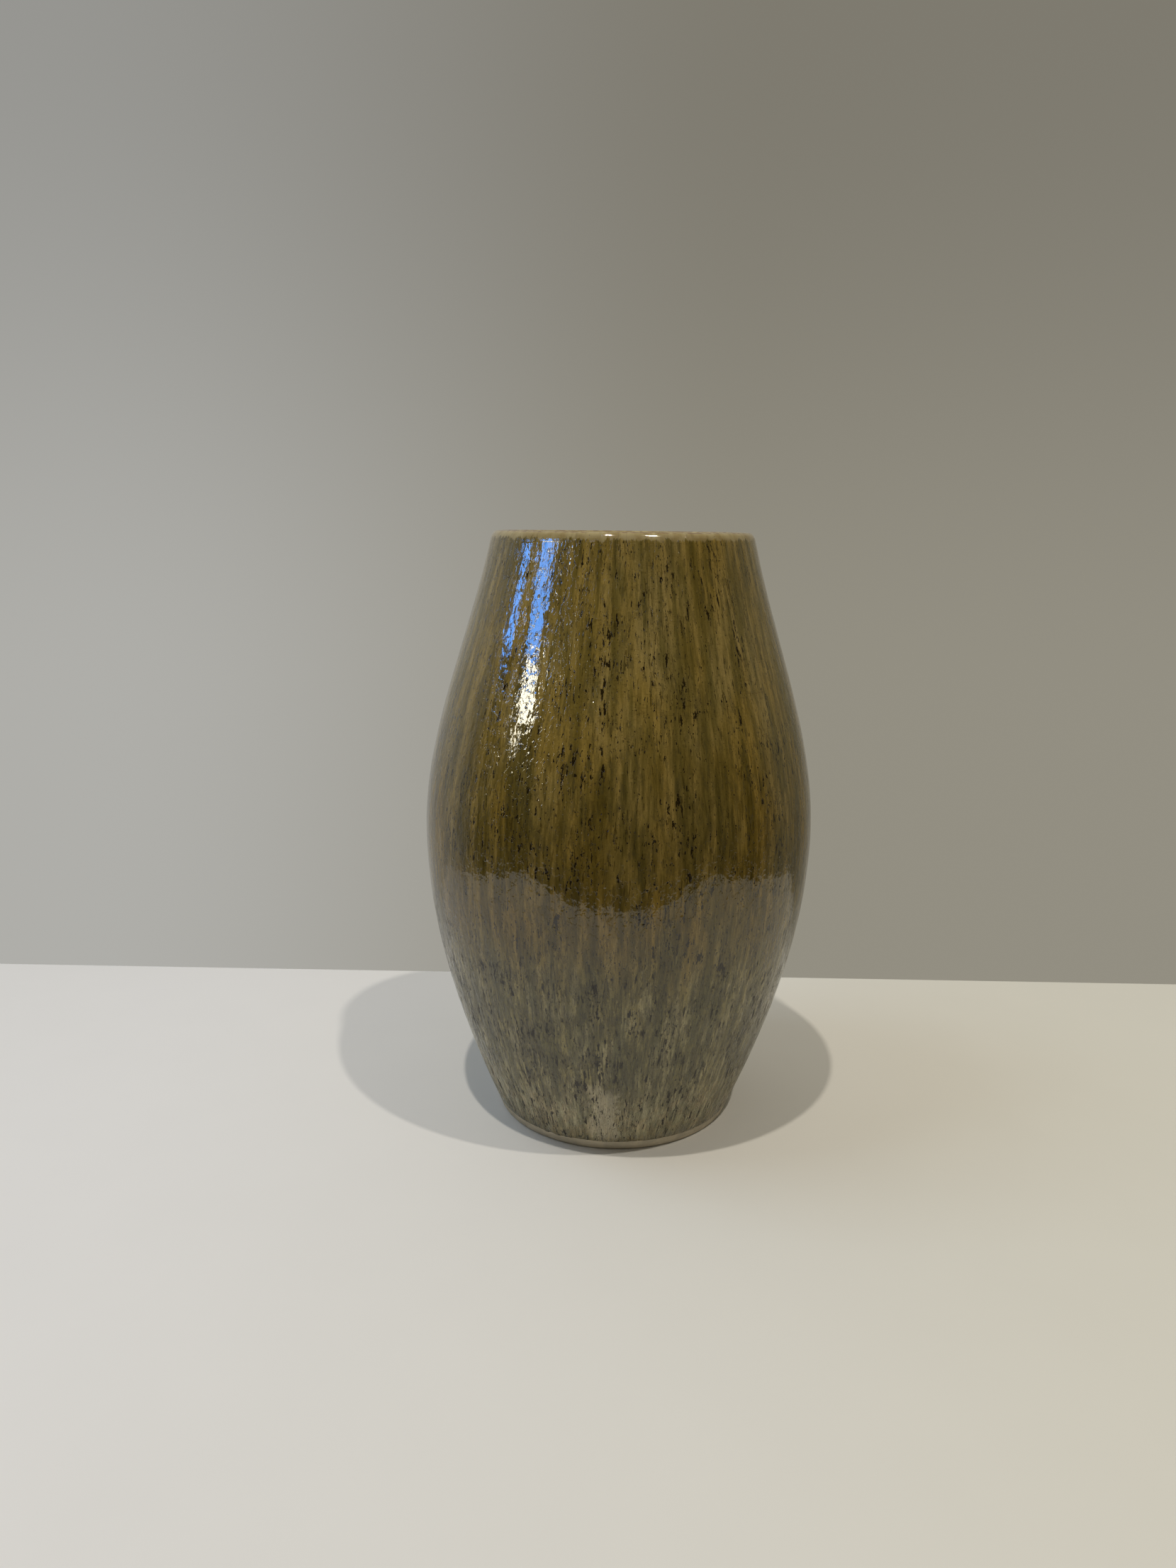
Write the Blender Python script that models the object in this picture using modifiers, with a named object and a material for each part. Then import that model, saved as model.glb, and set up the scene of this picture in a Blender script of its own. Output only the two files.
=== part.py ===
"""Glazed stoneware vase, barrel shaped, about 28 cm tall.

The clay body is four luted pieces (foot ring, floor slab, wall and lip ring)
and the glaze is three coats over it. Metres, +Z up, origin at the centre of
the foot, on the surface that the vase stands on. A small clearance stands for
each fused or luted face, so that every piece stays a solid of its own.
"""
import math

import bpy

# Outer form of the glazed vase
height = 0.280             # foot to the top of the lip
foot_radius = 0.0573       # outline radius at the table
belly_radius = 0.0922      # outline radius at the widest point
belly_height = 0.142       # height of the widest point
mouth_radius = 0.0598      # outline radius carried up to the full height
foot_flare = 0.422         # how fast the radius grows with height at the foot
shoulder_lean = 0.2185     # how fast it shrinks with height at the lip

# Clay body
clay_thickness = 0.005     # wall and lip, measured through the wall
floor_top = 0.011          # height of the clay floor inside
foot_band = 0.004          # height of the bare, wiped foot ring
foot_ring_width = 0.0119   # width of the flat ring underneath
foot_recess = 0.003        # height of the floor's underside above the table
foot_edge = 0.001          # rounding of the foot ring's lower edges
foot_setback = 0.0004      # how far the bare foot stands back from the glaze
lip_depth = 0.008          # height of the luted lip ring
lip_fall = 0.0015          # how much further the lip's rounding reaches down outside

# Glaze coats
glaze_thickness = 0.0007
lip_band = 0.0047          # height of the lip coat on the outside
lip_band_inside = 0.008    # height of the lip coat on the inside
pool_radius = 0.004        # glaze pooled in the corner round the floor

# Fit and smoothness
clearance = 0.0003         # gap between any two touching pieces
sides = 40                 # facets round the vase
courses = 8                # rows below the belly, and the same above it
round_steps = 8            # rows over the rounding of the lip
edge_steps = 3             # rows over a small rounded edge

coat_depth = glaze_thickness + clearance           # outline to the clay's outer face
clay_inside = coat_depth + clay_thickness          # outline to the clay's inner face
liner_outside = clay_inside + clearance            # outline to the liner's clay side
full_thickness = liner_outside + glaze_thickness   # outline to the inside surface
foot_bore = foot_radius - foot_setback - foot_ring_width
lip_centre_height = height - coat_depth - clay_thickness / 2


def smooth_span(t, start, end, start_slope, end_slope, span):
    """Value and slope of a cubic that leaves and arrives at the given slopes."""
    value = ((2 * t**3 - 3 * t**2 + 1) * start + (t**3 - 2 * t**2 + t) * span * start_slope
             + (3 * t**2 - 2 * t**3) * end + (t**3 - t**2) * span * end_slope)
    slope = ((6 * t**2 - 6 * t) * (start - end) / span + (3 * t**2 - 4 * t + 1) * start_slope
             + (3 * t**2 - 2 * t) * end_slope)
    return value, slope


def outline(z):
    """Outer radius of the vase at a height, and how fast it changes there."""
    if z < belly_height:
        return smooth_span(z / belly_height, foot_radius, belly_radius, foot_flare, 0, belly_height)
    rise = height - belly_height
    return smooth_span((z - belly_height) / rise, belly_radius, mouth_radius, 0, -shoulder_lean, rise)


def skin(z, depth):
    """Point at height z that lies a given depth under the outline."""
    radius, slope = outline(z)
    return radius - depth * math.hypot(1, slope), z


def course_heights(low, high):
    """Heights of the rows from low to high; every coat shares those between."""
    rows = [belly_height * k / courses for k in range(courses)]
    rows += [belly_height + (height - belly_height) * k / courses for k in range(courses + 1)]
    shortest = 0.2 * height / (2 * courses)
    inner = [z for z in rows if low + shortest < z < high - shortest]
    return [low] + inner + [high]


def side(low, high, depth):
    """Points up one face of the wall, at one depth under the outline."""
    return [skin(z, depth) for z in course_heights(low, high)]


def arc(centre, radius, start, end, steps):
    """Points on an arc from the start angle to the end angle, in degrees."""
    angles = [math.radians(start + (end - start) * k / steps) for k in range(steps + 1)]
    return [(centre[0] + radius * math.cos(a), centre[1] + radius * math.sin(a)) for a in angles]


def lip_round(radius):
    """Rounding over the lip, from the inside face to the softer outside face."""
    lean = math.atan(-outline(lip_centre_height)[1])
    centre = skin(lip_centre_height, coat_depth + clay_thickness / 2)
    steps = round_steps // 2
    inner_quarter = arc(centre, radius, 180 + math.degrees(lean), 90, steps)

    # The outer quarter is an ellipse that meets the sloping wall at a tangent
    tall = radius + lip_fall
    wide = math.sqrt((radius + lip_fall * math.sin(lean))**2 - (tall * math.sin(lean))**2) / math.cos(lean)
    last = math.atan(math.tan(lean) * tall / wide)
    turns = [math.pi / 2 + (last - math.pi / 2) * k / steps for k in range(1, steps + 1)]
    outer_quarter = [(centre[0] + wide * math.cos(t), centre[1] - lip_fall + tall * math.sin(t)) for t in turns]
    return inner_quarter + outer_quarter


def foot_ring_profile():
    """Bare ring that the vase stands on, with both lower edges rounded."""
    outer = skin(foot_edge, foot_setback)[0]
    rim_centre = (outer - foot_edge, foot_edge)
    bore_centre = (foot_bore + foot_edge, foot_edge)
    return ([skin(foot_band, foot_setback)]
            + arc(rim_centre, foot_edge, 0, -90, edge_steps)
            + arc(bore_centre, foot_edge, -90, -180, edge_steps)
            + [(foot_bore, foot_band)])


def floor_slab_profile():
    """Disc that lies on the foot ring inside the wall and plugs the ring's bore."""
    seat = foot_band + clearance
    plug = foot_bore - clearance
    return [(0, floor_top), skin(floor_top, clay_inside + clearance), skin(seat, clay_inside + clearance),
            (plug, seat), (plug, foot_recess), (0, foot_recess)]


def body_wall_profile():
    """Wall from the foot ring up to the luted lip ring."""
    low = foot_band + clearance
    high = height - lip_depth - clearance
    return side(low, high, coat_depth)[::-1] + side(low, high, clay_inside)


def lip_ring_profile():
    """Clay ring with a rounded top that closes the wall."""
    low = height - lip_depth
    return lip_round(clay_thickness / 2) + [skin(low, coat_depth), skin(low, clay_inside)]


def outer_glaze_profile():
    """Coat over the outside, from the bare foot to the lip coat."""
    low = foot_band + clearance
    high = height - lip_band - clearance
    return side(low, high, 0)[::-1] + side(low, high, glaze_thickness)


def lip_glaze_profile():
    """Thin coat that wraps over the lip, longer on the inside."""
    outside = height - lip_band
    inside = height - lip_band_inside
    outer_face = lip_round(clay_thickness / 2 + coat_depth)
    clay_face = lip_round(clay_thickness / 2 + clearance)
    return (outer_face + [skin(outside, 0), skin(outside, glaze_thickness)]
            + clay_face[::-1] + [skin(inside, liner_outside), skin(inside, full_thickness)])


def inner_glaze_profile():
    """Coat that lines the inside and the floor, pooled in the corner."""
    low = floor_top + clearance
    high = height - lip_band_inside - clearance
    floor = low + glaze_thickness
    climb = math.degrees(math.atan2(1, outline(floor)[1]))
    wall_foot = floor + pool_radius * (1 - math.cos(math.radians(climb)))
    pool_centre = (skin(wall_foot, full_thickness)[0] - pool_radius * math.sin(math.radians(climb)),
                   floor + pool_radius)
    pool = arc(pool_centre, pool_radius, -90, climb - 90, edge_steps + 1)
    return ([(0, floor)] + pool + side(wall_foot, high, full_thickness)[1:]
            + side(low, high, liner_outside)[::-1] + [(0, low)])


def finish(name, colour, roughness, coat=0.0):
    """Plain material of one colour, with an optional clear coat."""
    material = bpy.data.materials.new(name)
    material.use_nodes = True
    shader = material.node_tree.nodes["Principled BSDF"]
    shader.inputs["Base Color"].default_value = (*colour, 1)
    shader.inputs["Roughness"].default_value = roughness
    shader.inputs["Metallic"].default_value = 0
    shader.inputs["Coat Weight"].default_value = coat
    return material


def turned(name, profile, material, collection):
    """Spin a profile of radius and height points into one closed solid."""
    joined = profile[0][0] > 0
    links = [(k, k + 1) for k in range(len(profile) - 1)]
    if joined:
        links.append((len(profile) - 1, 0))
    mesh = bpy.data.meshes.new(name)
    mesh.from_pydata([(radius, 0, z) for radius, z in profile], links, [])
    mesh.materials.append(material)
    piece = bpy.data.objects.new(name, mesh)
    collection.objects.link(piece)
    screw = piece.modifiers.new("Turn", "SCREW")
    screw.axis = "Z"
    screw.steps = sides
    screw.render_steps = sides
    screw.use_merge_vertices = True
    screw.merge_threshold = 0.00005
    screw.use_smooth_shade = True
    shading = piece.modifiers.new("Shading", "WEIGHTED_NORMAL")
    shading.keep_sharp = True
    return piece


def main():
    for old in list(bpy.data.objects):
        bpy.data.objects.remove(old, do_unlink=True)
    vase = bpy.data.collections.new("stoneware_vase")
    bpy.context.scene.collection.children.link(vase)

    bare_clay = finish("bare_clay", (0.30, 0.27, 0.20), 0.75)
    biscuit = finish("biscuit", (0.36, 0.30, 0.21), 0.85)
    streaked_glaze = finish("streaked_glaze", (0.15, 0.105, 0.03), 0.3, coat=1.0)
    liner_glaze = finish("liner_glaze", (0.20, 0.15, 0.06), 0.25, coat=1.0)
    rim_glaze = finish("rim_glaze", (0.38, 0.27, 0.12), 0.25, coat=1.0)

    turned("foot_ring", foot_ring_profile(), bare_clay, vase)
    turned("floor_slab", floor_slab_profile(), biscuit, vase)
    turned("body_wall", body_wall_profile(), biscuit, vase)
    turned("lip_ring", lip_ring_profile(), biscuit, vase)
    turned("outer_glaze", outer_glaze_profile(), streaked_glaze, vase)
    turned("inner_glaze", inner_glaze_profile(), liner_glaze, vase)
    turned("lip_glaze", lip_glaze_profile(), rim_glaze, vase)


main()
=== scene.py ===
import math
import bpy
import numpy as np
from mathutils import Matrix, Vector


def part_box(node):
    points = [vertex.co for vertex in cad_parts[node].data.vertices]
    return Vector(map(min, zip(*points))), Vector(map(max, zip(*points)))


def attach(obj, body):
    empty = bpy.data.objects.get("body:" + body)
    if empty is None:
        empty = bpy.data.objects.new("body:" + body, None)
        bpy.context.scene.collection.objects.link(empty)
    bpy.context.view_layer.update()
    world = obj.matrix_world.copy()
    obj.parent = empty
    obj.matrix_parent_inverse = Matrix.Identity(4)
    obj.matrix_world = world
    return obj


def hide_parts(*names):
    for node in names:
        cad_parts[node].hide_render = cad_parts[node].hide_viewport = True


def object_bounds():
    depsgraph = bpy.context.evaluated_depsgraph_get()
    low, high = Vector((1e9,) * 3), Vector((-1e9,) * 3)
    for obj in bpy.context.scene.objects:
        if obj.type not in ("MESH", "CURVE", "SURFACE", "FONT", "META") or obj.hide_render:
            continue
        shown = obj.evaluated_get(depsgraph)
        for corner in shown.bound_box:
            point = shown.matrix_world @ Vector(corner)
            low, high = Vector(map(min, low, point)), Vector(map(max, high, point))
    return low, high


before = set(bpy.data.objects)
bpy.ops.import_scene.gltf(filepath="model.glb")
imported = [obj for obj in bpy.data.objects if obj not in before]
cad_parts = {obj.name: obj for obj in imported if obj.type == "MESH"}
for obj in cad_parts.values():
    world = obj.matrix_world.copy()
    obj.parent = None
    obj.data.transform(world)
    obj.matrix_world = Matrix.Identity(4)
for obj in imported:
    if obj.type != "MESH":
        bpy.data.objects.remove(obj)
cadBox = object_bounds()
print("frame loaded:", ", ".join(sorted(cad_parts)))

mm = 0.001

cameraPlace = {
    "location": (0.0, -0.5330, 0.2831),
    "pitch": 12.93,      # degrees below level
    "yaw": 1.575,        # turned to the left, so the vase sits right of the middle
    "roll": 0.67,
    "lens": 26.04,
}


def makeCamera(place):
    data = bpy.data.cameras.new("studioCamera")
    data.lens = place["lens"]
    data.sensor_width = 36
    data.clip_start = 0.02
    camera = bpy.data.objects.new("studioCamera", data)
    bpy.context.scene.collection.objects.link(camera)
    turn = Matrix.Rotation(math.radians(place["yaw"]), 4, "Z")
    tilt = Matrix.Rotation(math.radians(90 - place["pitch"]), 4, "X")
    roll = Matrix.Rotation(math.radians(place["roll"]), 4, "Z")
    camera.matrix_world = Matrix.Translation(place["location"]) @ turn @ tilt @ roll
    bpy.context.scene.camera = camera


makeCamera(cameraPlace)


class Wire:      # one output socket, so that shader maths reads as sums
    def __init__(self, recipe, socket):
        self.recipe = recipe
        self.socket = socket

    def maths(self, operation, *others):
        sockets = dict(enumerate((self, *others)))
        return self.recipe.node("ShaderNodeMath", {"operation": operation}, sockets)

    def __add__(self, other):
        return self.maths("ADD", other)

    def __radd__(self, other):
        return self.maths("ADD", other)

    def __sub__(self, other):
        return self.maths("SUBTRACT", other)

    def __rsub__(self, other):
        return self.recipe.node("ShaderNodeMath", {"operation": "SUBTRACT"}, {0: other, 1: self})

    def __mul__(self, other):
        return self.maths("MULTIPLY", other)

    def __rmul__(self, other):
        return self.maths("MULTIPLY", other)

    def __truediv__(self, other):
        return self.maths("DIVIDE", other)

    def atLeast(self, other):
        return self.maths("MAXIMUM", other)

    def output(self, name):      # another output of the same node
        return Wire(self.recipe, self.socket.node.outputs[name])


class Recipe:      # the nodes of one tree
    def __init__(self, tree):
        self.tree = tree

    def node(self, kind, settings=None, sockets=None, out=0):
        made = self.tree.nodes.new(kind)
        for key, value in (settings or {}).items():
            setattr(made, key, value)
        for key, value in (sockets or {}).items():
            if isinstance(value, Wire):
                self.tree.links.new(value.socket, made.inputs[key])
            else:
                made.inputs[key].default_value = value
        return Wire(self, made.outputs[out])

    def ease(self, value, low, high):      # 0 below low, 1 above high, smooth between
        settings = {"interpolation_type": "SMOOTHSTEP", "clamp": True}
        return self.node("ShaderNodeMapRange", settings, {0: value, 1: low, 2: high, 3: 0.0, 4: 1.0})

    def mix(self, share, first, second, blend="MIX"):
        first, second = (value if isinstance(value, Wire) else (*value, 1) for value in (first, second))
        settings = {"data_type": "RGBA", "blend_type": blend}
        return self.node("ShaderNodeMix", settings, {0: share, 6: first, 7: second}, out=2)

    def multiply(self, share, first, second):
        return self.mix(share, first, second, "MULTIPLY")


class Finish(Recipe):      # one material, whose marks are placed round and up the turned wall
    def __init__(self, name, still):
        self.material = bpy.data.materials.new(name)
        self.material.use_nodes = True
        super().__init__(self.material.node_tree)
        self.shader = self.tree.nodes["Principled BSDF"]
        for socket, value in still.items():      # what is the same all over is set on the shader itself
            self.shader.inputs[socket].default_value = value
        self.place = self.node("ShaderNodeTexCoord", out="Object")
        split = self.node("ShaderNodeSeparateXYZ", sockets={0: self.place})
        self.z = split.output("Z")
        across, along = split.output("X"), split.output("Y")
        self.reach = (across * across + along * along).maths("SQRT").atLeast(0.0001)      # from the axis
        self.across = across / self.reach      # with along, the way out from the axis
        self.along = along / self.reach

    def onWall(self, around, up, start=0.0, wander=None):      # place on the wall, in marks of that size
        radius = 0.085      # of the wall, on the whole
        across = self.across * (radius / around)
        along = self.along * (radius / around)
        rise = self.z * (1 / up) + start
        if wander is not None:
            across = across + wander
            along = along - wander
            rise = rise + wander * 0.5
        return self.node("ShaderNodeCombineXYZ", sockets={0: across, 1: along, 2: rise})

    def noise(self, around, up, start=0.0, detail=2.0, rough=0.5, wander=None):
        where = self.onWall(around, up, start, wander)
        return self.node("ShaderNodeTexNoise", {"noise_dimensions": "3D"},
                         {"Vector": where, "Scale": 1.0, "Detail": detail, "Roughness": rough})

    def flecks(self, around, up, size, share, start=0.0, wander=None, core=0.65):      # scattered marks
        soft = 0.02
        smallest = 0.4      # of the full size
        where = self.onWall(around, up, start, wander)
        cell = self.node("ShaderNodeTexVoronoi", {"feature": "F1", "voronoi_dimensions": "3D"},
                         {"Vector": where, "Scale": 1.0, "Randomness": 1.0})
        chance = self.node("ShaderNodeSeparateColor", sockets={0: cell.output("Color")})
        picked = self.ease(chance, 1 - share - soft, 1 - share + soft)
        reach = size * (smallest + (1 - smallest) * chance.output("Green"))
        edge = cell.output("Distance") / reach
        return picked * (1 - self.ease(edge, core, 1.0))

    def finish(self, colour, roughness, height=None):
        links = {"Base Color": colour, "Roughness": roughness}
        if height is not None:
            sockets = {"Height": height, "Distance": 1.0, "Strength": 1.0}
            links["Normal"] = self.node("ShaderNodeBump", sockets=sockets)
        for socket, value in links.items():
            self.tree.links.new(value.socket, self.shader.inputs[socket])
        return self.material


def rings(node):      # the outline and inner line of a turned CAD node: heights and radii
    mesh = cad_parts[node].data
    place = np.empty(len(mesh.vertices) * 3)
    mesh.vertices.foreach_get("co", place)
    place = place.reshape(-1, 3)
    world = np.array(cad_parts[node].matrix_world)
    place = place @ world[:3, :3].T + world[:3, 3]
    radius = np.hypot(place[:, 0], place[:, 1])
    level = np.round(place[:, 2], 5)
    heights = np.unique(level)
    outer = np.array([radius[level == h].max() for h in heights])
    inner = np.array([radius[level == h].min() for h in heights])
    return heights, outer, inner


def through(heights, radii):      # smooth curve through the rings: gives the radius at any height
    slopes = np.gradient(radii, heights)

    def at(z):
        k = np.clip(np.searchsorted(heights, z) - 1, 0, len(heights) - 2)
        span = heights[k + 1] - heights[k]
        t = (z - heights[k]) / span
        inside = np.clip(t, 0, 1)
        square, cube = inside**2, inside**3
        value = (2 * cube - 3 * square + 1) * radii[k] + (3 * square - 2 * cube) * radii[k + 1]
        value = value + ((cube - 2 * square + inside) * slopes[k] + (cube - square) * slopes[k + 1]) * span
        return value + (np.minimum(t, 0) * slopes[k] + np.maximum(t - 1, 0) * slopes[k + 1]) * span
    return at


glazeHeights, glazeRadii, _ = rings("outer_glaze")
outline = through(glazeHeights, glazeRadii)


def slopeAt(z):
    return (outline(z + 0.5 * mm) - outline(z - 0.5 * mm)) / mm


def underSkin(z, depth):      # radius at a depth measured square to the outline
    return outline(z) - depth * np.hypot(1, slopeAt(z))


def grain(angle, z, around, up, seed, layers=1):      # seamless smooth noise on the wall, -1 to 1
    girth = 0.53      # round the wall, on the whole
    tall = 0.32       # more than the vase's height
    below = 0.01      # where the noise starts, under the foot
    total = np.zeros(np.broadcast(angle, z).shape)
    weight = 0
    for layer in range(layers):
        share = 0.5**layer
        cells = max(5, round(girth * 2**layer / around))
        rows = int(tall * 2**layer / up) + 4
        table = np.random.default_rng(seed * 10 + layer).uniform(-1, 1, (rows, cells))
        u = (angle / (2 * math.pi)) % 1 * cells
        v = (z + below) * 2**layer / up
        left = np.floor(u).astype(int)
        low = np.floor(v).astype(int)
        s = u - left
        t = v - low
        s = s * s * (3 - 2 * s)
        t = t * t * (3 - 2 * t)
        right = (left + 1) % cells
        left = left % cells
        top = np.clip(low + 1, 0, rows - 1)
        low = np.clip(low, 0, rows - 1)
        total += share * ((table[low, left] * (1 - s) + table[low, right] * s) * (1 - t)
                          + (table[top, left] * (1 - s) + table[top, right] * s) * t)
        weight += share
    return total / weight


def bumps(*place):      # the same noise, 0 to 1
    return 0.5 + 0.5 * grain(*place)


def smooth(value, low, high):
    t = np.clip((value - low) / (high - low), 0, 1)
    return t * t * (3 - 2 * t)


def columnAngles(around):
    return np.arange(around) * 2 * math.pi / around


def turnedMesh(name, radius, height, capped=False):      # rows of points, in order along the profile
    rows, around = radius.shape
    angle = columnAngles(around)
    points = np.stack([radius * np.cos(angle), radius * np.sin(angle), height], -1)
    points = points.reshape(-1, 3).tolist()
    row = np.arange(rows - 1 if capped else rows)[:, None]      # uncapped, the last row joins the first
    column = np.arange(around)[None, :]
    nextRow = (row + 1) % rows * around
    nextColumn = (column + 1) % around
    corners = (row * around + column, row * around + nextColumn, nextRow + nextColumn, nextRow + column)
    faces = np.stack(corners, -1).reshape(-1, 4).tolist()
    if capped:      # the first and last rows close on the axis
        points.append([0.0, 0.0, float(height[0].mean())])
        points.append([0.0, 0.0, float(height[-1].mean())])
        first, last = rows * around, rows * around + 1
        end = (rows - 1) * around
        faces += [[first, (k + 1) % around, k] for k in range(around)]
        faces += [[last, end + k, end + (k + 1) % around] for k in range(around)]
    mesh = bpy.data.meshes.new(name)
    mesh.from_pydata(points, [], faces)
    mesh.shade_smooth()
    piece = bpy.data.objects.new(name, mesh)
    bpy.context.scene.collection.objects.link(piece)
    return piece


bakeSheet = {
    "shownFront": 0.02,      # where each half's band starts, on the face that is seen
    "shownBack": 0.52,
    "shownTall": 0.46,
    "hiddenFront": 0.002,      # and on the face that isn't
    "hiddenBack": 0.502,
    "hiddenTall": 0.01,
    "inset": 0.004,
}


def unwrap(piece, rows, around, shown, look):      # each face's front and back halves, in bands
    mesh = piece.data
    half = around // 2
    layer = mesh.uv_layers.new(name="OFBake")
    row = np.repeat(np.arange(rows), around)
    column = np.tile(np.arange(around), rows)
    onBack = column < half
    onShown = row < shown
    u0 = np.where(onBack, column, column - half) / half
    u1 = u0 + 1 / half
    share = np.where(onShown, row / shown, (row - shown) / (rows - shown))
    step = np.where(onShown, 1 / shown, 1 / (rows - shown))
    shownBase = np.where(onBack, look["shownBack"], look["shownFront"])
    hiddenBase = np.where(onBack, look["hiddenBack"], look["hiddenFront"])
    tall = np.where(onShown, look["shownTall"], look["hiddenTall"])
    v0 = np.where(onShown, shownBase, hiddenBase) + tall * share
    v1 = v0 + tall * step
    inset = look["inset"]
    u0, u1 = inset + (1 - 2 * inset) * u0, inset + (1 - 2 * inset) * u1
    places = np.stack([u0, v0, u1, v0, u1, v1, u0, v1], -1).reshape(-1)
    layer.data.foreach_set("uv", places.astype(np.float32))


def settle(piece, node, material):
    piece.data.materials.append(material)
    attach(piece, "root")
    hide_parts(node)


outerGlaze = {
    "around": 704,           # columns round the vase
    "rows": 118,
    "hiddenRows": 9,
    "thickness": 0.7 * mm,
    "kept": 0.22 * mm,       # least thickness, before the dip at the seam
    "ragged": 2.4 * mm,      # how far the lower edge wanders
    "lowest": 3.0 * mm,
    "thinning": 0.18 * mm,      # how much the coat loses at its lower edge
    "thinningHeight": 1.4 * mm,
    "swell": 0.11 * mm,      # slow unevenness of the hand-made wall
    "comb": 0.06 * mm,       # upright ridges left by the tool
    "ripple": 0.09 * mm,     # waves in the melted glaze
    "footGrain": 0.10 * mm,      # rougher glaze low on the wall
    "footGrainTop": (0.012, 0.045),
}

seam = {
    "drop": 4.6 * mm,        # below the lip's top, where the two coats cross
    "wander": 0.35 * mm,
    "dive": 0.10 * mm,       # how deep each coat dips under the other
    "run": 0.55 * mm,        # height over which it dips
    "lead": 0.1 * mm,        # how far before the crossing the dip starts
    "approach": 0.9 * mm,    # the outer coat's evenly spaced rows end this far below
    "outerRows": (-0.4, -0.1, 0.1, 0.45, 0.9),      # its last rows, in mm above the crossing
    "lipApproach": 0.35 * mm,      # the lip coat's end this far above
    "lipRows": (0.1, -0.1, -0.45),
    "lipHiddenRows": (-0.45,),
}


def seamHeight(angle):
    return cadBox[1][2] - seam["drop"] + seam["wander"] * grain(angle, 0 * angle, 6 * mm, 1.0, 51, 3)


def seamRows(crossing, steps):
    return [(crossing + step * mm)[None, :] for step in steps]


def wallDepth(angle, z, look):      # how far the glazed face lies under the true outline
    depth = look["swell"] * (1 + grain(angle, z, 60 * mm, 50 * mm, 5, 2))
    depth = depth + look["comb"] * bumps(angle, z, 4.2 * mm, 34 * mm, 21, 3)
    depth = depth + look["ripple"] * bumps(angle, z, 5 * mm, 8 * mm, 31, 2)
    foot = 1 - smooth(z, *look["footGrainTop"])
    return depth + look["footGrain"] * foot * bumps(angle, z, 2.6 * mm, 4.5 * mm, 41, 2)


def makeOuterGlaze(look):
    around = look["around"]
    angle = columnAngles(around)
    crossing = seamHeight(angle)
    bottom = look["lowest"] + look["ragged"] * bumps(angle, 0 * angle, 10 * mm, 1.0, 3, 4)
    share = np.linspace(0, 1, look["rows"])[:, None]
    z = bottom + (crossing - seam["approach"] - bottom) * share
    z = np.concatenate([z] + seamRows(crossing, seam["outerRows"]))
    angle = np.broadcast_to(angle, z.shape)
    depth = wallDepth(angle, z, look)
    depth = depth + look["thinning"] * (1 - smooth(z - bottom, 0, look["thinningHeight"])) ** 2
    depth = np.clip(depth, 0, look["thickness"] - look["kept"])
    depth = depth + seam["dive"] * np.clip((z - crossing + seam["lead"]) / seam["run"], 0, 1)
    hidden = np.linspace(1, 0, look["hiddenRows"])[:, None]
    zHidden = bottom + (z[-1] - bottom) * hidden
    radius = np.concatenate([underSkin(z, depth), underSkin(zHidden, look["thickness"])])
    height = np.concatenate([z, zHidden])
    piece = turnedMesh("outerGlaze", radius, height)
    unwrap(piece, len(radius), around, len(z) - 1, bakeSheet)
    return piece


streaked = {
    "khaki": (0.322, 0.238, 0.078),
    "ochre": (0.302, 0.209, 0.048),
    "sage": (0.255, 0.222, 0.086),
    "moss": (0.085, 0.068, 0.023),
    "pit": (0.017, 0.010, 0.002),
    "olive": (0.520, 0.475, 0.305),      # the paler zone just above the foot
    "brown": (0.565, 0.460, 0.280),
    "buff": (0.440, 0.385, 0.225),
    "paleFront": (0.600, 0.525, 0.365),
    "slate": (0.200, 0.190, 0.150),
    # painted highlight: the pale tone of the glints near the foot
    "glintTone": (0.750, 0.730, 0.600),
    # tints that multiply the colour: between the marks and on them
    "bandTints": ((0.61, 0.63, 0.53), (1.14, 1.13, 1.13)),
    "strandTints": ((0.66, 0.67, 0.58), (1.14, 1.14, 1.14)),
    "fibreTints": ((0.72, 0.72, 0.68), (1.16, 1.16, 1.18)),
    "gritTints": ((0.80, 0.80, 0.80), (1.20, 1.20, 1.20)),
    "smearTint": (0.54, 0.54, 0.50),
    "slitTint": (0.36, 0.34, 0.24),
    "crackTint": (0.60, 0.56, 0.50),
    # painted shade: this tint darkens the belly at mid-height, as if less light falls there
    "waistShadeTint": (0.60, 0.53, 0.28),
    # the two heights between which each zone starts or ends
    "footTop": (0.020, 0.044),
    "lowTop": (0.075, 0.135),
    "highBottom": (0.17, 0.21),
    "waistShadeBottom": (0.08, 0.12),
    "waistShadeTop": (0.15, 0.22),
    "paleFrontTop": (0.033, 0.041),
    "baseTop": (0.0045, 0.0095),
    # how high each mark stands or how deep it is cut
    "swell": 0.14 * mm,
    "ledge": 0.04 * mm,
    "jolt": 0.045 * mm,
    "crust": 0.25 * mm,
    "pimple": 0.11 * mm,
    "pitDepth": 0.02 * mm,
    "glintHeight": 0.10 * mm,
    "lowStrand": 0.05 * mm,      # and low on the wall only
    "lowFibre": 0.015 * mm,
    "lowSmudge": 0.08 * mm,
    "lowPit": 0.20 * mm,
    "lowSlit": 0.06 * mm,
}


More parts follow.
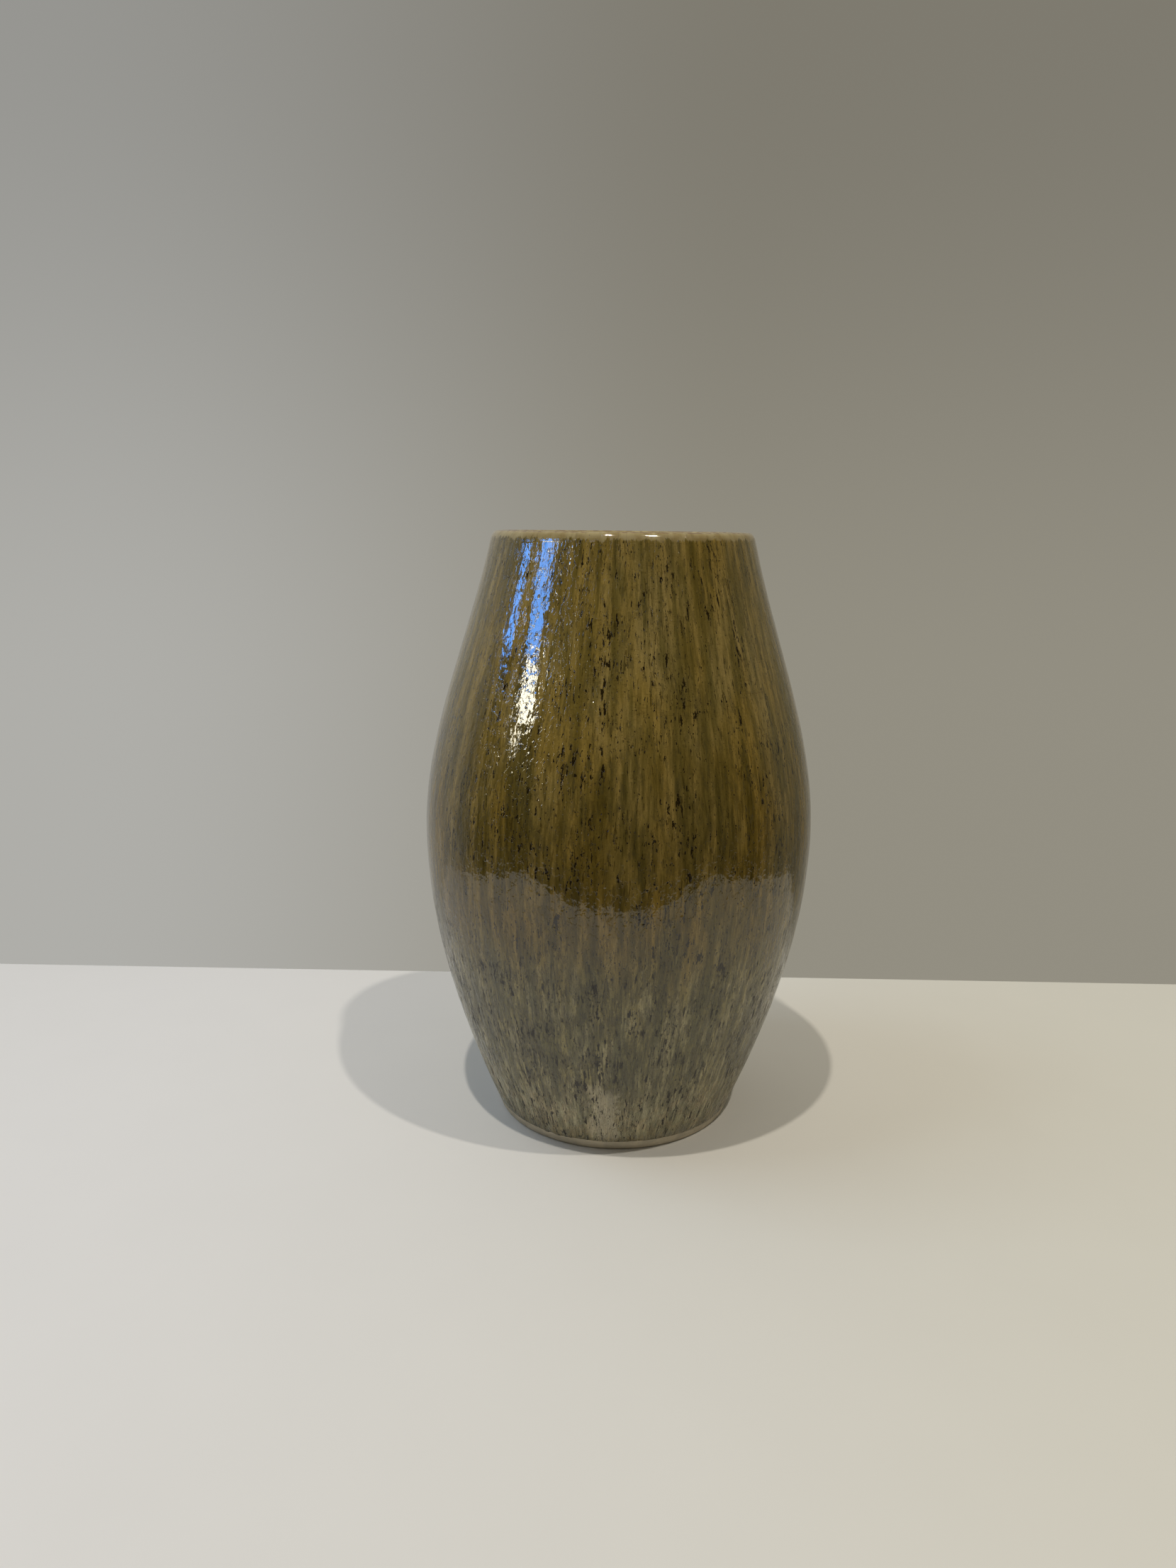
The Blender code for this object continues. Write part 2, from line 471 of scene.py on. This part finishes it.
def streakedCoat(r, look):      # colour, roughness and height of the streaked wall
    jag = (r.noise(0.8 * mm, 1.0 * mm, 9.0, 2.0) - 0.5) * 0.5      # tears the edges of marks
    drift = (r.noise(9 * mm, 26 * mm, 3.0) - 0.5) * 0.9      # bends the streaks
    crowd = r.ease(r.noise(10 * mm, 20 * mm, 13.0, 3.0), 0.38, 0.62)      # where marks gather

    # zones up the wall, with wandering borders
    border = r.z + (r.noise(12 * mm, 16 * mm, 51.0, 3.0) - 0.5) * (30 * mm)
    foot = 1 - r.ease(border, *look["footTop"])
    lowBorder = r.z + (r.noise(11 * mm, 30 * mm, 63.0, 3.0) - 0.5) * (60 * mm)
    low = 1 - r.ease(lowBorder, *look["lowTop"])
    high = r.ease(r.z, *look["highBottom"])
    waistShade = r.ease(r.z, *look["waistShadeBottom"]) * (1 - r.ease(r.z, *look["waistShadeTop"]))

    # streaks and marks, from the broadest to the finest
    cloud = r.ease(r.noise(24 * mm, 50 * mm, 1.0, 3.0), 0.38, 0.62)
    band = r.ease(r.noise(6.0 * mm, 60 * mm, 5.0, 4.0, 0.55, drift), 0.38, 0.62)
    strand = r.ease(r.noise(2.0 * mm, 22 * mm, 7.0, 4.0, 0.6, drift), 0.38, 0.60)
    fibre = r.ease(r.noise(0.7 * mm, 6 * mm, 17.0, 2.0, 0.6), 0.38, 0.62)
    slits = r.noise(0.9 * mm, 7 * mm, 19.0, 3.0, 0.6, jag * 0.7) + low * 0.03 + crowd * 0.04
    slits = r.ease(slits, 0.635, 0.655)
    smudge = r.noise(1.9 * mm, 8 * mm, 21.0, 4.0, 0.65, jag) + low * 0.03 + crowd * 0.03
    smudge = r.ease(smudge, 0.550, 0.605)
    bigChips = r.noise(1.4 * mm, 6.0 * mm, 25.0, 3.0, 0.6, jag) + crowd * 0.08 + low * 0.02
    bigChips = r.ease(bigChips, 0.682, 0.694)
    smallChips = r.noise(1.0 * mm, 2.4 * mm, 35.0, 2.0, 0.6, jag) + crowd * 0.05
    smallChips = r.ease(smallChips, 0.682, 0.696)
    grit = r.noise(0.5 * mm, 0.6 * mm, 47.0, 1.0)
    dots = r.flecks(2.4 * mm, 3.0 * mm, 0.13, 0.8, 6.0, jag)
    pits = bigChips.atLeast(smallChips).atLeast(dots * 0.8)
    crackLine = r.noise(13 * mm, 2.4 * mm, 43.0, 2.0) - 0.5
    cracks = (1 - r.ease(crackLine.maths("ABSOLUTE"), 0.004, 0.014)) * high
    cracks = cracks * r.ease(r.noise(8 * mm, 8 * mm, 45.0), 0.42, 0.58)

    # colour
    tone = r.mix(cloud, look["khaki"], look["ochre"])
    tone = r.mix(low * 0.8, tone, look["sage"])
    blotch = r.ease(r.noise(5 * mm, 6 * mm, 53.0, 4.0, 0.6, jag), 0.44, 0.56)
    tone = r.mix(foot * 0.64, tone, r.mix(blotch, look["olive"], look["brown"]))
    clump = r.ease(r.noise(7 * mm, 24 * mm, 23.0, 4.0, 0.6, jag), 0.49, 0.57) * low * (1 - foot)
    tone = r.mix(clump * 0.5, tone, look["buff"])
    tone = r.multiply(1 - foot * 0.5, tone, r.mix(band, *look["bandTints"]))
    tone = r.multiply(0.9 - high * 0.35 - foot * 0.3, tone, r.mix(strand, *look["strandTints"]))
    tone = r.multiply(0.55 - high * 0.25 - foot * 0.25, tone, r.mix(fibre, *look["fibreTints"]))
    tone = r.multiply(1.0, tone, r.mix(grit, *look["gritTints"]))
    smear = r.ease(r.noise(3.2 * mm, 11 * mm, 57.0, 4.0, 0.6, jag), 0.42, 0.58) * low
    tone = r.multiply(smear * 0.8, tone, look["smearTint"])
    tone = r.multiply(slits * (0.8 - foot * 0.4), tone, look["slitTint"])
    tone = r.multiply(cracks * 0.6, tone, look["crackTint"])
    # painted shade: the belly at mid-height is darkened and browned, standing in for less light from above
    tone = r.multiply(waistShade * 0.62, tone, look["waistShadeTint"])
    tone = r.mix(smudge * (0.42 + low * 0.15 - foot * 0.25), tone, look["moss"])
    aside = (r.across + 0.055 + (blotch - 0.5) * 0.05).maths("ABSOLUTE")
    onFront = 1 - r.ease(r.along, -0.2, 0.2)
    paleFrontPatch = (1 - r.ease(aside, 0.06, 0.11)) * (1 - r.ease(border, *look["paleFrontTop"])) * onFront
    tone = r.mix(paleFrontPatch * 0.5, tone, look["paleFront"])      # one pale patch low on the front
    base = 1 - r.ease(r.z + (blotch - 0.5) * (4 * mm), *look["baseTop"])
    tone = r.mix(base * 0.45, tone, look["slate"])
    tone = r.mix(pits * 0.97, tone, look["pit"])
    # painted highlight: pale flecks near the foot stand in for glints; they are also raised as small bumps
    paintedGlints = r.flecks(1.5 * mm, 1.5 * mm, 0.22, 0.30, 55.0) * foot
    tone = r.mix(paintedGlints * 0.7, tone, look["glintTone"])

    # relief
    swell = r.noise(4.5 * mm, 5.5 * mm, 15.0, 1.0)
    ledges = r.ease(r.noise(3.0 * mm, 6.0 * mm, 29.0, 2.0, 0.6, jag), 0.47, 0.53)
    crust = r.noise(1.1 * mm, 1.6 * mm, 27.0, 3.0) * foot
    pimples = r.flecks(4.0 * mm, 4.0 * mm, 0.30, 0.8, 33.0, None, 0.0)
    jolt = r.noise(1.5 * mm, 1.9 * mm, 59.0, 1.5)
    height = swell * look["swell"] + ledges * look["ledge"] + jolt * look["jolt"] + crust * look["crust"]
    height = height + pimples * look["pimple"] - pits * look["pitDepth"] + paintedGlints * look["glintHeight"]
    carved = strand * look["lowStrand"] + fibre * look["lowFibre"] - smudge * look["lowSmudge"]
    carved = carved - pits * look["lowPit"] - slits * look["lowSlit"]
    height = height + carved * low
    roughness = 0.035 + foot * 0.22 + (pits.atLeast(smudge * 0.5)) * low * 0.5
    return tone, roughness, height


def streakedGlaze(look):
    r = Finish("streakedGlaze", {"IOR": 1.68, "Metallic": 0.0})
    return r.finish(*streakedCoat(r, look))


glaze = makeOuterGlaze(outerGlaze)
settle(glaze, "outer_glaze", streakedGlaze(streaked))
print("outer glaze:", len(glaze.data.polygons), "faces")


lipCoat = {
    "around": 528,
    "roundRows": 26,
    "sideRows": 4,
    "insideRows": 6,
    "hiddenRows": 12,
    "hiddenSideRows": 2,
    "thickness": 0.7 * mm,
    "coatDepth": 1.0 * mm,      # from the outline to the clay
    "fall": 1.5 * mm,       # how much further the rounding reaches down outside
    "sway": 0.16 * mm,      # how far the lip dips as it goes round
    "ragged": 0.4 * mm,     # how far the inside edge wanders
    "bump": 0.10 * mm,
    "blend": (2.2 * mm, 0.4 * mm),      # below the top, where the wall's bumps give way to the lip's
}


def makeLipCoat(look):
    angle = columnAngles(look["around"])
    low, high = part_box("lip_glaze")
    ringHeights, ringOuter, ringInner = rings("lip_ring")
    clay = (ringOuter[0] - ringInner[0]) / math.hypot(1, float(slopeAt(ringHeights[0])))
    reach = clay / 2 + look["coatDepth"]      # half the lip's full thickness
    fall = look["fall"]
    lean = math.atan(-float(slopeAt(high[2] - reach)))
    centreZ = high[2] - reach
    centreR = float(underSkin(centreZ, reach))
    crossing = seamHeight(angle)
    insideEdge = low[2] + look["ragged"] * (1 + grain(angle, 0 * angle, 9 * mm, 1.0, 53, 2))
    sway = look["sway"] * (1 + grain(angle, 0 * angle, 90 * mm, 1.0, 55, 2)) / 2

    def wide(short):      # the outer rounding is an ellipse that meets the sloping wall
        return np.sqrt((short + fall * math.sin(lean)) ** 2
                       - ((short + fall) * math.sin(lean)) ** 2) / math.cos(lean)

    last = math.atan(math.tan(lean) * (reach + fall) / wide(reach))

    def shownDepth(z, outside):      # the lip's own bumps, then those of the wall, then under the seam
        spread = np.broadcast_to(angle, z.shape)
        onLip = look["bump"] * bumps(spread, z, 6 * mm, 4 * mm, 57, 2)
        start, end = look["blend"]
        share = (1 - smooth(z, high[2] - start, high[2] - end)) * outside
        dive = seam["dive"] * np.clip((crossing - z + seam["lead"]) / seam["run"], 0, 1) * outside
        return onLip + (wallDepth(spread, z, outerGlaze) - onLip) * share + dive

    def hiddenDepth(z, outside):
        return look["thickness"] + 0 * z

    def face(rowsRound, rowsSide, steps, depthOf):      # inside edge, over the top, down to the seam
        turn = np.linspace(math.pi + lean, last, rowsRound)[:, None] + 0 * angle
        outside = np.cos(turn) > 0
        firstZ = centreZ + np.where(outside, (reach + fall) * np.sin(turn) - fall, reach * np.sin(turn))
        short = reach - depthOf(firstZ, outside)
        roundR = centreR + np.where(outside, wide(short), short) * np.cos(turn)
        roundZ = centreZ + np.where(outside, (short + fall) * np.sin(turn) - fall, short * np.sin(turn))
        roundZ = roundZ - sway * np.sin(np.clip(turn, 0, math.pi)) ** 2
        outTop = roundZ[-1]
        share = np.linspace(0, 1, rowsSide + 1)[1:, None]
        outZ = outTop + (crossing + seam["lipApproach"] - outTop) * share
        outZ = np.concatenate([outZ] + seamRows(crossing, steps))
        outR = underSkin(outZ, depthOf(outZ, True))
        inTop = centreZ - reach * math.sin(lean)
        share = np.linspace(0, 1, look["insideRows"] + 1)[:-1, None]
        inZ = insideEdge + (inTop - insideEdge) * share
        inR = underSkin(inZ, 2 * reach - depthOf(inZ, False))
        return np.concatenate([inR, roundR, outR]), np.concatenate([inZ, roundZ, outZ])

    shownR, shownZ = face(look["roundRows"], look["sideRows"], seam["lipRows"], shownDepth)
    hiddenR, hiddenZ = face(look["hiddenRows"], look["hiddenSideRows"], seam["lipHiddenRows"], hiddenDepth)
    radius = np.concatenate([shownR, hiddenR[::-1]])[::-1]
    height = np.concatenate([shownZ, hiddenZ[::-1]])[::-1]
    return turnedMesh("lipGlaze", radius, height)


rimTones = {
    "tan": (0.420, 0.335, 0.160),
    "honey": (0.320, 0.235, 0.090),
    "rust": (0.170, 0.070, 0.028),
    "speck": (0.060, 0.045, 0.022),
    "insideEdge": (0.0560, 0.0575),      # radii between which the tan inside gives way to the outside
    "tanEdge": (3.5 * mm, 2.6 * mm),      # below the top, where the wall's streaks give way to tan
    "rustEdge": (0.7 * mm, 0.3 * mm),
    "grain": 0.08 * mm,
    "speckDepth": 0.1 * mm,
}


def rimGlaze(look, wallLook):
    r = Finish("rimGlaze", {"IOR": 1.68, "Metallic": 0.0})
    wallTone, wallRoughness, wallHeight = streakedCoat(r, wallLook)
    top = cadBox[1][2]
    tanLow, tanHigh = (top - drop for drop in look["tanEdge"])
    rustLow, rustHigh = (top - drop for drop in look["rustEdge"])
    torn = r.z + (r.noise(3.2 * mm, 14 * mm, 61.0, 5.0, 0.65) - 0.5) * (8 * mm)
    inside = 1 - r.ease(r.reach, *look["insideEdge"])
    own = r.ease(torn, tanLow, tanHigh).atLeast(inside)
    cloud = r.ease(r.noise(8 * mm, 5 * mm, 1.0, 3.0), 0.35, 0.65)
    edge = r.ease(r.z, rustLow, rustHigh)
    broken = r.ease(r.noise(5 * mm, 6 * mm, 5.0, 3.0), 0.42, 0.58)
    specks = r.flecks(2.4 * mm, 2.2 * mm, 0.16, 0.35, 3.0)
    streak = r.ease(r.noise(1.6 * mm, 9 * mm, 7.0, 3.0), 0.52, 0.72)
    tone = r.mix(cloud, look["honey"], look["tan"])
    tone = r.mix(streak * 0.25, tone, look["speck"])
    tone = r.mix(edge * broken * 0.75, tone, look["rust"])
    tone = r.mix(specks * 0.75, tone, look["speck"])
    tone = r.mix(own, wallTone, tone)
    ownHeight = r.noise(2.2 * mm, 2.2 * mm, 9.0, 2.0) * look["grain"] - specks * look["speckDepth"]
    height = wallHeight + (ownHeight - wallHeight) * own
    roughness = wallRoughness + (0.06 + specks * 0.3 - wallRoughness) * own
    return r.finish(tone, roughness, height)


lip = makeLipCoat(lipCoat)
settle(lip, "lip_glaze", rimGlaze(rimTones, streaked))
print("lip coat:", len(lip.data.polygons), "faces")


liner = {
    "around": 240,
    "wallRows": 84,
    "floorRows": 16,
    "poolRows": 7,
    "hiddenRows": 10,
    "thickness": 0.7 * mm,
    "pool": 4 * mm,
    "poolTurn": (-math.pi / 2, -0.3),      # angles that the pool's curve runs between
    "poolIn": 0.92,
    "poolWide": 0.96,
    "poolMargin": 1.5 * mm,
    "floorSpan": (0.06, 0.97),      # where the floor's rows lie, as shares of its radius
    "wallFrom": 0.04,      # radius that parts the wall's rings from the floor's
    "climb": 0.25 * mm,      # how much further up it runs, toward the lip coat
    "throwing": 0.10 * mm,      # depth of the rings that the fingers left
    "pitch": 7.5 * mm,
    "uneven": 0.08 * mm,
    "calmTop": 6 * mm,      # the rings fade out over these heights at either end
    "calmFoot": 8 * mm,
    "swirl": 0.12 * mm,      # the spiral on the floor
    "swirlPitch": 9 * mm,
}


def makeLiner(look):
    angle = columnAngles(look["around"])
    low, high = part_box("inner_glaze")
    lowest, highest = low[2], high[2] + look["climb"]
    heights, clayFace, shownFace = rings("inner_glaze")
    abovePool = heights > lowest + look["pool"] + look["poolMargin"]
    facing = through(heights[abovePool], shownFace[abovePool])
    onWall = clayFace > look["wallFrom"]
    backing = through(heights[onWall], clayFace[onWall])
    floor = lowest + look["thickness"]
    start = floor + look["pool"]
    z = np.linspace(0, 1, look["wallRows"])[:, None] * (highest - start) + start + 0 * angle
    throwing = look["throwing"] * (0.5 + 0.5 * np.sin(2 * math.pi * z / look["pitch"] + angle))
    uneven = look["uneven"] * (1 + grain(np.broadcast_to(angle, z.shape), z, 40 * mm, 30 * mm, 61, 2))
    fade = smooth(highest - z, 0, look["calmTop"]) * smooth(z - start, 0, look["calmFoot"])
    wallR = facing(z) + (throwing + uneven) * fade
    foot = float(facing(start))
    bend = np.linspace(*look["poolTurn"], look["poolRows"])[:, None]
    poolR = foot - look["pool"] * look["poolIn"]
    poolR = poolR + look["pool"] * np.cos(bend) * look["poolWide"] + 0 * angle
    poolZ = floor + look["pool"] + look["pool"] * np.sin(bend) + 0 * angle
    across = np.linspace(*look["floorSpan"], look["floorRows"])[:, None]
    floorR = poolR[:1] * across
    swirl = look["swirl"] * np.sin(2 * math.pi * floorR / look["swirlPitch"] - angle)
    swirl = swirl * smooth(across, 0.1, 0.4) * smooth(1 - across, 0, 0.2)
    floorZ = floor + look["swirl"] + swirl
    zHidden = np.linspace(1, 0, look["hiddenRows"])[:, None] * (highest - lowest) + lowest + 0 * angle
    radius = np.concatenate([floorR, poolR, wallR, backing(zHidden), backing(zHidden[-1:]) * 0.5])
    height = np.concatenate([floorZ, poolZ, z, zHidden, zHidden[-1:]])
    return turnedMesh("innerGlaze", radius[::-1], height[::-1], capped=True)


linerTones = {
    "amber": (0.200, 0.130, 0.045),
    "brown": (0.110, 0.070, 0.026),
    "pool": (0.060, 0.042, 0.018),
    "speck": (0.030, 0.020, 0.010),
    "poolTop": (0.013, 0.022),      # heights over which the dark pool ends
    "waves": 0.04 * mm,
    "floorWaves": 0.08 * mm,
    "speckDepth": 0.1 * mm,
}


def linerGlaze(look):
    r = Finish("linerGlaze", {"IOR": 1.55, "Metallic": 0.0})
    cloud = r.ease(r.noise(26 * mm, 18 * mm, 1.0, 4.0), 0.36, 0.64)
    bands = r.ease(r.noise(60 * mm, 3.0 * mm, 3.0, 2.0), 0.45, 0.7)
    floorNoise = r.node("ShaderNodeTexNoise", sockets={"Vector": r.place, "Scale": 70.0, "Detail": 4.0})
    specks = r.flecks(3.2 * mm, 3.2 * mm, 0.15, 0.4, 2.0)
    pooled = 1 - r.ease(r.z, *look["poolTop"])
    tone = r.mix(cloud, look["brown"], look["amber"])
    tone = r.mix(bands * 0.35, tone, look["brown"])
    tone = r.mix(pooled * 0.55 * (0.5 + floorNoise), tone, look["pool"])
    tone = r.mix(specks * 0.8, tone, look["speck"])
    height = r.noise(4 * mm, 3 * mm, 5.0, 2.0) * look["waves"]
    height = height + floorNoise * look["floorWaves"] - specks * look["speckDepth"]
    return r.finish(tone, 0.08 + specks * 0.3, height)


lining = makeLiner(liner)
settle(lining, "inner_glaze", linerGlaze(linerTones))
print("liner:", len(lining.data.polygons), "faces")


footRing = {
    "around": 360,
    "faceRows": 12,
    "edgeRows": 6,
    "underRows": 10,
    "collar": 2.6 * mm,      # runs up behind the glaze's ragged edge
    "collarTuck": 0.5 * mm,      # and goes this much deeper there
    "collarTuckFrom": (4.6 * mm, 5.6 * mm),
    "collarDepth": 0.95 * mm,      # of its back, under the outline
    "setback": 0.30 * mm,
    "wiped": 0.06 * mm,      # marks that the sponge left
    "edge": 1.0 * mm,
    "shelf": 7.6 * mm,      # width of the flat top, from the bore
}


def makeFootRing(look):
    around = look["around"]
    angle = columnAngles(around)
    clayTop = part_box("foot_ring")[1][2]
    inner = rings("foot_ring")[2]
    bore = inner[len(inner) // 2]
    top = clayTop + look["collar"]
    edge = look["edge"]
    z = np.linspace(top, edge, look["faceRows"])[:, None] + 0 * angle
    wiped = look["wiped"] * bumps(np.broadcast_to(angle, z.shape), z, 14 * mm, 1.6 * mm, 71, 2)
    hidden = look["collarTuck"] * smooth(z, *look["collarTuckFrom"])
    faceR = underSkin(z, look["setback"] + wiped + hidden)
    corner = faceR[-1:]
    bend = np.linspace(0, math.pi / 2, look["edgeRows"] + 1)[1:, None]
    cornerR = corner - edge + edge * np.cos(bend)
    cornerZ = edge - edge * np.sin(bend) + 0 * angle
    across = np.linspace(0, 1, look["underRows"])[1:-1, None]
    underR = cornerR[-1:] + (bore + edge - cornerR[-1:]) * across
    underZ = 0 * underR
    innerR = bore + edge - edge * np.sin(bend - bend[0]) + 0 * angle
    innerZ = edge - edge * np.cos(bend - bend[0]) + 0 * angle
    backZ = np.array([edge, clayTop])[:, None] + 0 * angle
    backR = bore + 0 * backZ
    shelfR = np.full((1, around), bore + look["shelf"])
    shelfZ = np.full((1, around), clayTop)
    collarZ = np.full((1, around), top)
    collarR = underSkin(collarZ, look["collarDepth"])
    radius = np.concatenate([faceR, cornerR, underR, innerR, backR, shelfR, collarR])
    height = np.concatenate([z, cornerZ, underZ, innerZ, backZ, shelfZ, collarZ])
    return turnedMesh("footRing", radius[::-1], height[::-1])


clayTones = {
    "pale": (0.680, 0.600, 0.450),
    "grey": (0.560, 0.500, 0.380),
    "grit": (0.200, 0.170, 0.120),
}

clayTooth = {      # relief and tints of any bare clay
    "tooth": 0.03 * mm,
    "wiped": 0.04 * mm,
    "grit": 0.04 * mm,
    "wipedTints": ((0.8, 0.8, 0.8), (1.2, 1.2, 1.2)),
}


def bareClay(name, look, surface):
    r = Finish(name, {"IOR": 1.45, "Metallic": 0.0})
    cloud = r.ease(r.noise(10 * mm, 4 * mm, 1.0, 4.0), 0.35, 0.65)
    wiped = r.noise(18 * mm, 0.9 * mm, 3.0, 2.0)
    grit = r.flecks(1.8 * mm, 1.8 * mm, 0.2, 0.4, 5.0)
    tooth = r.node("ShaderNodeTexNoise", sockets={"Vector": r.place, "Scale": 1400.0, "Detail": 3.0})
    tone = r.mix(cloud, look["grey"], look["pale"])
    tone = r.multiply(0.5, tone, r.mix(wiped, *surface["wipedTints"]))
    tone = r.mix(grit * 0.4, tone, look["grit"])
    height = tooth * surface["tooth"] + wiped * surface["wiped"] - grit * surface["grit"]
    return r.finish(tone, 0.72 - wiped * 0.15, height)


ring = makeFootRing(footRing)
settle(ring, "foot_ring", bareClay("wipedClay", clayTones, clayTooth))
print("foot ring:", len(ring.data.polygons), "faces")


biscuitTones = {
    "pale": (0.420, 0.350, 0.245),
    "grey": (0.310, 0.250, 0.175),
    "grit": (0.120, 0.090, 0.060),
}

biscuit = bareClay("biscuitClay", biscuitTones, clayTooth)
for name in ("floor_slab", "body_wall", "lip_ring"):
    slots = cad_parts[name].data.materials
    for k in range(len(slots)):
        slots[k] = biscuit
    if not len(slots):
        slots.append(biscuit)
print("clay under the glaze dressed")


table = {
    "left": -0.440, "right": 0.452,
    "front": -0.352, "backLeft": 0.152, "backRight": 0.163,
    "thick": 0.024,
    "drop": 0.05 * mm,      # below the foot, so that no two faces coincide
    "round": 0.006,
    "clothWindowLit": (0.860, 0.856, 0.870),      # painted window light: cooler and brighter toward the window, warmer and darker to the right
    "clothShaded": (0.805, 0.785, 0.705),
    "clothLightBlend": (-0.30, 0.30),
    "weaveTint": (0.97, 0.97, 0.97),
}


def makeTable(look):
    mesh = bpy.data.meshes.new("tableTop")
    top, low = -look["drop"], -look["thick"]
    x0, x1, y0 = look["left"], look["right"], look["front"]
    plan = ((x0, y0), (x1, y0), (x1, look["backRight"]), (x0, look["backLeft"]))
    points = [(x, y, z) for z in (low, top) for x, y in plan]
    sides = [(k, (k + 1) % 4, (k + 1) % 4 + 4, k + 4) for k in range(4)]
    mesh.from_pydata(points, [], [(3, 2, 1, 0), (4, 5, 6, 7)] + sides)
    stand = bpy.data.objects.new("tableTop", mesh)
    bpy.context.scene.collection.objects.link(stand)
    bevel = stand.modifiers.new("Edges", "BEVEL")
    bevel.width = look["round"]
    bevel.segments = 4
    mesh.shade_smooth()
    weighted = stand.modifiers.new("Shading", "WEIGHTED_NORMAL")
    weighted.keep_sharp = True
    r = Finish("paleCloth", {"IOR": 1.45, "Metallic": 0.0})
    weave = r.node("ShaderNodeTexNoise", sockets={"Vector": r.place, "Scale": 22.0, "Detail": 3.0})
    # painted light: the cloth is tinted cooler and brighter on the window side and darker to the right
    toRight = r.ease(r.across * r.reach, *look["clothLightBlend"])
    tone = r.mix(toRight, look["clothWindowLit"], look["clothShaded"])
    tone = r.multiply(weave, tone, look["weaveTint"])
    mesh.materials.append(r.finish(tone, 0.80 + weave * 0.1))


makeTable(table)


def softbox(name, azimuth, elevation, distance, wide, tall, power, tint, aim):      # tall 0: a disk
    data = bpy.data.lights.new(name, "AREA")
    data.shape = "RECTANGLE" if tall else "DISK"
    data.size = wide
    if tall:
        data.size_y = tall
    data.energy = power
    data.color = tint
    lamp = bpy.data.objects.new(name, data)
    a, e = math.radians(azimuth), math.radians(elevation)
    away = Vector((math.sin(a) * math.cos(e), -math.cos(a) * math.cos(e), math.sin(e)))
    lamp.location = Vector(aim) + away * distance
    lamp.rotation_euler = away.to_track_quat("Z", "Y").to_euler()
    lamp.visible_camera = False
    bpy.context.scene.collection.objects.link(lamp)
    return lamp


skyBlue = (0.08, 0.35, 1.0)
sunCream = (1.0, 0.93, 0.72)
windowPale = (0.66, 0.82, 1.0)
lampWarm = (1.0, 0.93, 0.82)
foot = (0, 0, 0.1)
middle = (0, 0, 0.2)
shoulder = (0, 0, 0.24)

# azimuth 0 is toward the viewer, negative to the left
for card in (softbox("sky", -67.5, 25.5, 1.4, 0.30, 0.26, 3.1, skyBlue, shoulder),
             softbox("skySliver", -88, 18, 1.4, 0.16, 0.10, 0.64, skyBlue, shoulder),
             softbox("sunlitWall", -62.5, 17.4, 1.4, 0.24, 0.14, 1.95, sunCream, shoulder),
             softbox("sunlitTrail", -66, 12, 1.4, 0.06, 0.12, 0.3, sunCream, shoulder)):
    card.visible_diffuse = False      # seen in the gloss only
softbox("windowFill", -80, 58, 1.3, 0.6, 0.45, 3.5, windowPale, middle).visible_glossy = False
softbox("lampRight", 45.2, 66.5, 2.48, 0.05, 0, 13.7, lampWarm, foot)
softbox("lampLeft", -23.3, 72.0, 2.37, 0.05, 0, 15.6, lampWarm, foot)


room = {
    "wallLeft": (0.428, 0.423, 0.398),
    "wallRight": (0.290, 0.272, 0.222),
    "wallTurn": (-0.45, 0.12),      # where the wall passes from one to the other
    "dark": (0.026, 0.022, 0.014),      # what the gloss sees toward the viewer
    "ceiling": (0.300, 0.285, 0.250),
    "ceilingTurn": (0.50, 0.90),
    "rightShade": (0.62, 0.62, 0.55),
    "rightTurn": (0.30, 0.75),
    "behindTurn": (-0.10, 0.40),
    "topShade": (0.72, 0.72, 0.72),      # the backdrop darkens upward
    "topTurn": (-0.15, 0.35),
}


def makeRoom(look):
    world = bpy.data.worlds.new("studioRoom")
    bpy.context.scene.world = world
    world.use_nodes = True
    r = Recipe(world.node_tree)
    way = r.node("ShaderNodeTexCoord", out="Generated")
    toRight = r.node("ShaderNodeSeparateXYZ", sockets={0: way})
    toBack, upward = toRight.output("Y"), toRight.output("Z")
    wall = r.mix(r.ease(toRight, *look["wallTurn"]), look["wallLeft"], look["wallRight"])
    front = r.mix(r.ease(upward, *look["ceilingTurn"]), look["dark"], look["ceiling"])
    dim = r.multiply(1.0, wall, look["rightShade"])
    behind = r.mix(r.ease(toRight, *look["rightTurn"]), wall, dim)
    around = r.mix(r.ease(toBack, *look["behindTurn"]), front, behind)
    topDim = r.multiply(1.0, wall, look["topShade"])
    backdrop = r.mix(r.ease(upward, *look["topTurn"]), wall, topDim)
    seen = r.node("ShaderNodeLightPath", out="Is Camera Ray")
    colour = r.mix(seen, around, backdrop)
    r.tree.links.new(colour.socket, r.tree.nodes["Background"].inputs["Color"])


makeRoom(room)
bpy.context.scene.view_settings.view_transform = "Standard"
print("stage and lights ready")
